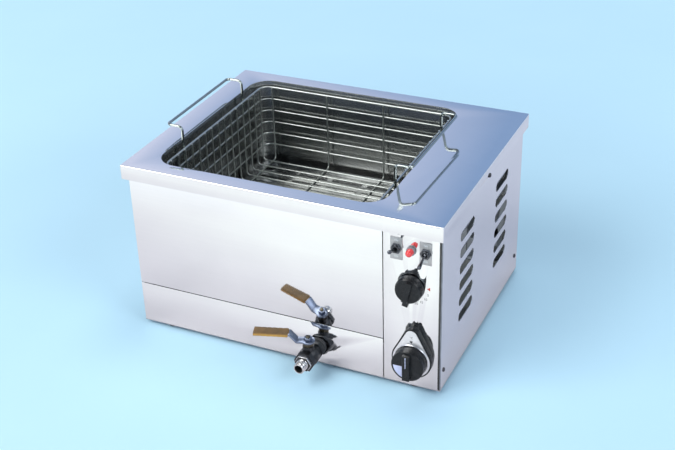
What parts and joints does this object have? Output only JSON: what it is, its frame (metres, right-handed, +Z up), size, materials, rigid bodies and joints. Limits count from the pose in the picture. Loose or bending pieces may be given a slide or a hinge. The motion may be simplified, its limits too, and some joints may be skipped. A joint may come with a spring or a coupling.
{
  "type": "commercial egg boiler",
  "caption": "Countertop egg boiler: polished steel case, rounded tank in the cover, lift-out wire basket with raised handles, toggle switches, lamp, timer, thermostat and drain valve.",
  "frame": {"origin": "middle of the footprint on the counter, at the underside of the feet", "axes": "+X to the right as seen from the front, -Y out of the front, +Z up"},
  "size_m": [0.6044, 0.532, 0.3715],
  "materials": {
    "polished_steel": "polished stainless sheet",
    "satin_steel": "drawn stainless sheet",
    "galvanised_steel": "galvanised sheet",
    "mineral_wool": "pressed mineral wool blanket",
    "rubber": "moulded black rubber",
    "heater_sheath": "heat-dulled stainless sheath",
    "brass": "turned brass",
    "copper": "drawn copper",
    "chrome_wire": "bright plated wire",
    "stainless_pipe": "machined stainless",
    "valve_cast": "dark cast and machined steel",
    "seat_white": "white sealing plastic",
    "lever_steel": "pressed steel",
    "sleeve_orange": "soft dipped plastic",
    "switch_plate": "satin aluminium",
    "switch_black": "moulded phenolic",
    "switch_metal": "plated",
    "lamp_bezel": "moulded",
    "lamp_red": "clear red, smooth",
    "control_case": "moulded",
    "spindle_steel": "turned steel",
    "knob_black": "moulded satin black",
    "faceplate_silver": "satin printed aluminium",
    "ring_chrome": "bright",
    "inlay_pale": "smooth pale lavender"
  },
  "bodies": {
    "case": {"top_cover": "polished_steel", "tank": "satin_steel", "tank_insulation": "mineral_wool", "front_upper_panel": "polished_steel", "front_lower_panel": "polished_steel", "control_panel": "polished_steel", "left_side_panel": "polished_steel", "right_side_panel": "polished_steel", "back_panel": "polished_steel", "base_pan": "galvanised_steel", "corner_posts": "galvanised_steel", "partition_wall": "galvanised_steel", "panel_rail": "galvanised_steel", "feet": "rubber", "foot_screws": "polished_steel", "cover_screws": "polished_steel", "cover_spacers": "polished_steel", "side_screws": "polished_steel", "heater_elements": "heater_sheath", "heater_glands": "brass", "guard_plate": "satin_steel", "thermostat_sensor": "copper", "sensor_gland": "brass", "drain_boss": "stainless_pipe", "drain_pipe": "stainless_pipe", "panel_grommet": "rubber", "valve_body": "valve_cast", "valve_seats": "seat_white", "stem_gland_nut": "brass", "valve_spout": "stainless_pipe", "switch_plates": "switch_plate", "switch_bodies": "switch_black", "switch_nuts": "switch_metal", "lamp_bezel": "lamp_bezel", "lamp_lens": "lamp_red", "timer_case": "control_case", "thermostat_bezel": "knob_black", "thermostat_faceplate": "faceplate_silver", "thermostat_ring": "ring_chrome", "thermostat_case": "control_case", "contactor": "control_case", "terminal_block": "control_case", "cable_gland": "knob_black"},
    "basket": {"basket_rim": "chrome_wire", "basket_hoops": "chrome_wire", "basket_cross_wires": "chrome_wire", "basket_long_wires": "chrome_wire", "basket_handles": "chrome_wire"},
    "valve_lever_set": {"valve_ball": "brass", "valve_stem": "brass", "valve_lever": "lever_steel", "lever_sleeve": "sleeve_orange", "lever_nut": "lever_steel"},
    "left_switch": {"left_toggle": "switch_metal"},
    "right_switch": {"right_toggle": "switch_metal"},
    "timer": {"timer_knob": "knob_black", "timer_shaft": "spindle_steel"},
    "thermostat": {"thermostat_knob": "knob_black", "thermostat_shaft": "spindle_steel", "knob_inlay": "inlay_pale"}
  },
  "joints": [
    {"name": "basket_lift", "type": "slide", "parent": "case", "child": "basket", "axis": [0, 0, 1], "range_m": [0, 0.24]},
    {"name": "valve_turn", "type": "hinge", "parent": "case", "child": "valve_lever_set", "pos_m": [0.063, -0.225, 0.08], "axis": [0, 0, 1], "range_deg": [-17, 73]},
    {"name": "left_switch_throw", "type": "hinge", "parent": "case", "child": "left_switch", "pos_m": [0.2145, -0.1955, 0.276], "axis": [1, 0, 0], "range_deg": [0, 36]},
    {"name": "right_switch_throw", "type": "hinge", "parent": "case", "child": "right_switch", "pos_m": [0.2655, -0.1955, 0.276], "axis": [1, 0, 0], "range_deg": [-36, 0]},
    {"name": "timer_turn", "type": "hinge", "parent": "case", "child": "timer", "pos_m": [0.24, -0.202, 0.207], "axis": [0, 1, 0], "range_deg": [-193, 107]},
    {"name": "thermostat_turn", "type": "hinge", "parent": "case", "child": "thermostat", "pos_m": [0.246, -0.2148, 0.069], "axis": [0, 1, 0], "range_deg": [0, 270]}
  ]
}
